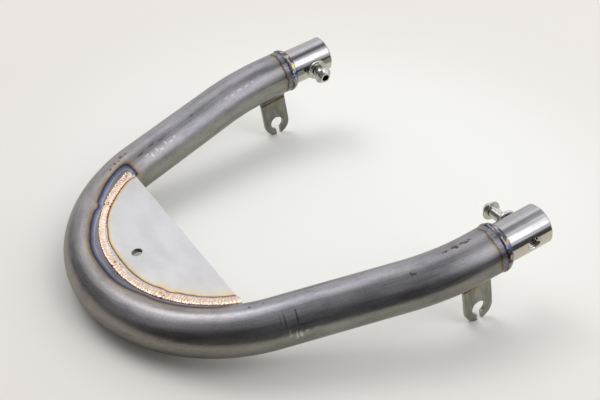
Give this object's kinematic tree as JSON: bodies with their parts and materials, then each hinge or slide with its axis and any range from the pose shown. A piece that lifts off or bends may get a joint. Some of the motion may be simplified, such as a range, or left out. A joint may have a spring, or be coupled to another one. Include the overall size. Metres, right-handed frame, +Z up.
{
  "type": "motorcycle subframe loop",
  "caption": "Bent steel rear hoop for a motorcycle subframe, with a half-moon plate in the bend, plug-in slug ends held by cross screws, and slotted lamp tabs.",
  "frame": {"origin": "on the floor under the middle of the bounding box, with the hoop resting on its rear bend and both tab tips", "axes": "+X towards the open ends, +Y towards the left leg, +Z up; the hoop's own plane is pitched up by 10.56 degrees towards +X"},
  "size_m": [0.2104, 0.234, 0.0595],
  "materials": {
    "raw_tube": "raw drawn steel tube with mill grain, heat tint beside the welds, scuffs and stains",
    "plate": "plain matt sheet steel with straw heat tint along the bead",
    "bronze_weld": "rippled silicon bronze bead",
    "bright_slug": "polished turned bar",
    "tinted_weld": "shiny steel bead with blue, straw and purple temper colours",
    "fastener": "bright stainless",
    "tab": "plain sheet steel, heat tinted at the weld"
  },
  "bodies": {
    "root": {"hoop_tube": "raw_tube", "gusset_plate": "plate", "gusset_weld_1": "bronze_weld", "gusset_weld_2": "bronze_weld", "gusset_weld_3": "bronze_weld", "gusset_weld_4": "bronze_weld", "left_slug": "bright_slug", "left_end_weld": "tinted_weld", "left_screw": "fastener", "left_washer": "fastener", "left_lamp_tab": "tab", "left_tab_outer_weld": "tinted_weld", "left_tab_inner_weld": "tinted_weld", "right_slug": "bright_slug", "right_end_weld": "tinted_weld", "right_screw": "fastener", "right_washer": "fastener", "right_lamp_tab": "tab", "right_tab_outer_weld": "tinted_weld", "right_tab_inner_weld": "tinted_weld"}
  },
  "joints": []
}
